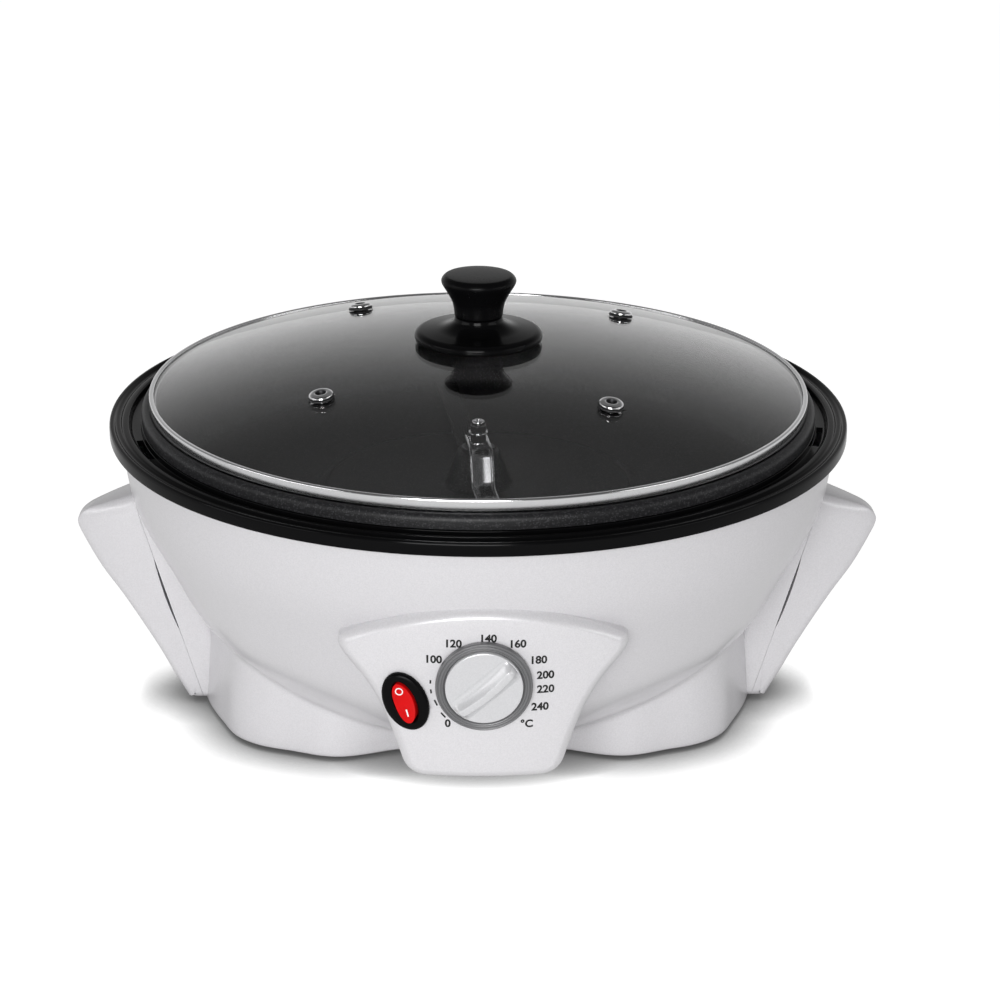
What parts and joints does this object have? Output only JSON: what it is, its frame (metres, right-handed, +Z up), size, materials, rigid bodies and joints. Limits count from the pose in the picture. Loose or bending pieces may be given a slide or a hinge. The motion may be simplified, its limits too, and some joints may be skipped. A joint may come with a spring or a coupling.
{
  "type": "coffee bean roaster",
  "caption": "Round countertop bean roaster: non-stick pan with a turning stirrer over a heating ring, winged moulded housing, dial and rocker panel, loose domed glass lid.",
  "frame": {"origin": "on the countertop under the stirrer's axis", "axes": "+Z up, -Y to the front where the control panel is, +X to the right as seen from the front"},
  "size_m": [0.3176, 0.288, 0.1757],
  "materials": {
    "pearl_paint": "pearlescent silver-white lacquer on moulded plastic",
    "gloss_black": "glossy black phenolic moulding",
    "non_stick": "black non-stick coating with a fine metallic fleck",
    "lid_glass": "clear tempered glass",
    "polished_steel": "polished stainless steel",
    "dark_steel": "dark oxidised steel",
    "sheet_steel": "plain galvanised sheet",
    "steel": "turned steel",
    "brass": "plain brass",
    "dark_plastic": "black moulded plastic",
    "black_rubber": "black rubber",
    "silicone": "dark grey silicone",
    "dial_white": "silver-white satin plastic",
    "dial_grey": "metallic grey paint",
    "switch_red": "translucent red plastic",
    "steatite": "unglazed steatite"
  },
  "bodies": {
    "housing": {"housing_shell": "pearl_paint", "left_handle_cover": "pearl_paint", "right_handle_cover": "pearl_paint", "collar_ring": "gloss_black", "base_cover": "dark_plastic", "front_left_foot": "black_rubber", "front_right_foot": "black_rubber", "rear_left_foot": "black_rubber", "rear_right_foot": "black_rubber", "terminal_block": "steatite", "cord_gland": "black_rubber", "roasting_pan": "non_stick", "pan_liner": "sheet_steel", "heating_element": "dark_steel", "element_clip_1": "sheet_steel", "element_clip_2": "sheet_steel", "element_clip_3": "sheet_steel", "thermal_fuse": "steatite", "motor_bracket": "sheet_steel", "motor_can": "sheet_steel", "gearbox": "sheet_steel", "shaft_bush": "dark_steel", "control_panel": "pearl_paint", "dial_ring": "dial_grey", "thermostat_body": "steatite", "capillary_sensor": "steel", "switch_housing": "dark_plastic", "switch_blade_upper": "brass", "switch_blade_lower": "brass"},
    "stirrer": {"gear_output_shaft": "steel", "shaft_coupling": "brass", "drive_shaft": "polished_steel", "stirrer_arm": "polished_steel", "stirrer_nut": "dark_steel", "stirrer_washer": "polished_steel", "stirrer_locknut": "dark_steel"},
    "dial": {"dial_knob": "dial_white", "thermostat_stem": "steel"},
    "rocker": {"switch_rocker": "switch_red"},
    "lid": {"lid_glass": "lid_glass", "lid_rim": "polished_steel", "vent_eyelet_1": "polished_steel", "vent_eyelet_2": "polished_steel", "vent_eyelet_3": "polished_steel", "vent_eyelet_4": "polished_steel", "eyelet_gasket_1": "silicone", "eyelet_gasket_2": "silicone", "eyelet_gasket_3": "silicone", "eyelet_gasket_4": "silicone", "knob_base": "gloss_black", "knob_grip": "gloss_black", "knob_washer": "silicone", "knob_screw": "steel"}
  },
  "joints": [
    {"name": "lid_lift", "type": "slide", "parent": "housing", "child": "lid", "axis": [0, 0, 1], "range_m": [0, 0.08]},
    {"name": "stirrer_spin", "type": "hinge", "parent": "housing", "child": "stirrer", "pos_m": [0, 0, 0.1], "axis": [0, 0, 1], "continuous": true},
    {"name": "dial_turn", "type": "hinge", "parent": "housing", "child": "dial", "pos_m": [0, -0.13735, 0.0653], "axis": [0, 0.9981, 0.061], "range_deg": [0, 245.6]},
    {"name": "switch_rock", "type": "hinge", "parent": "housing", "child": "rocker", "pos_m": [-0.0274, -0.13414, 0.0581], "axis": [0.909, -0.2052, 0.3628], "range_deg": [0, 14]}
  ]
}
